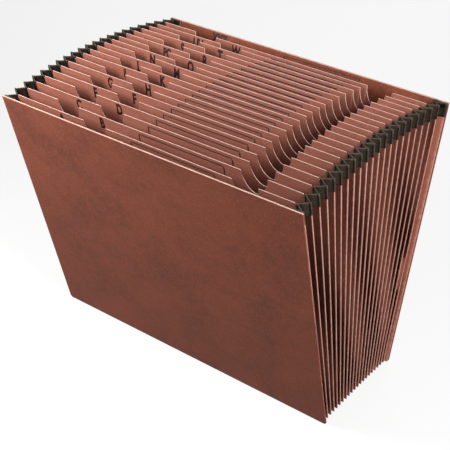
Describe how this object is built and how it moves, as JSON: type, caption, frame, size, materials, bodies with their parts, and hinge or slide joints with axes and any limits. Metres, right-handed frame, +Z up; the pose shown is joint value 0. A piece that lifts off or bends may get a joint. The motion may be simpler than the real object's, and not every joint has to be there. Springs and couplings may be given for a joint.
{
  "type": "expanding file",
  "caption": "Letter-size expanding file that stands open like a fan, with board covers, a pleated gusset and lettered dividers with thumb notches.",
  "frame": {"origin": "middle of the floor rectangle under the open file", "axes": "+X along the covers to the right seen from the front, +Y from the front cover to the back cover, +Z up"},
  "size_m": [0.304, 0.2284, 0.2626],
  "materials": {
    "cover_board": "matte reddish-brown fibre board",
    "gusset_paper": "matte reddish-brown fibre paper, paler along its folds",
    "divider_sheet": "matte reddish-brown manila sheet",
    "edge_tape": "dark matte coated cloth"
  },
  "bodies": {
    "root": {"front_cover": "cover_board", "back_cover": "cover_board", "gusset": "gusset_paper", "tape_left": "edge_tape", "tape_right": "edge_tape", "divider_01": "divider_sheet", "divider_02": "divider_sheet", "divider_03": "divider_sheet", "divider_04": "divider_sheet", "divider_05": "divider_sheet", "divider_06": "divider_sheet", "divider_07": "divider_sheet", "divider_08": "divider_sheet", "divider_09": "divider_sheet", "divider_10": "divider_sheet", "divider_11": "divider_sheet", "divider_12": "divider_sheet", "divider_13": "divider_sheet", "divider_14": "divider_sheet", "divider_15": "divider_sheet", "divider_16": "divider_sheet", "divider_17": "divider_sheet", "divider_18": "divider_sheet", "divider_19": "divider_sheet", "divider_20": "divider_sheet"}
  },
  "joints": []
}
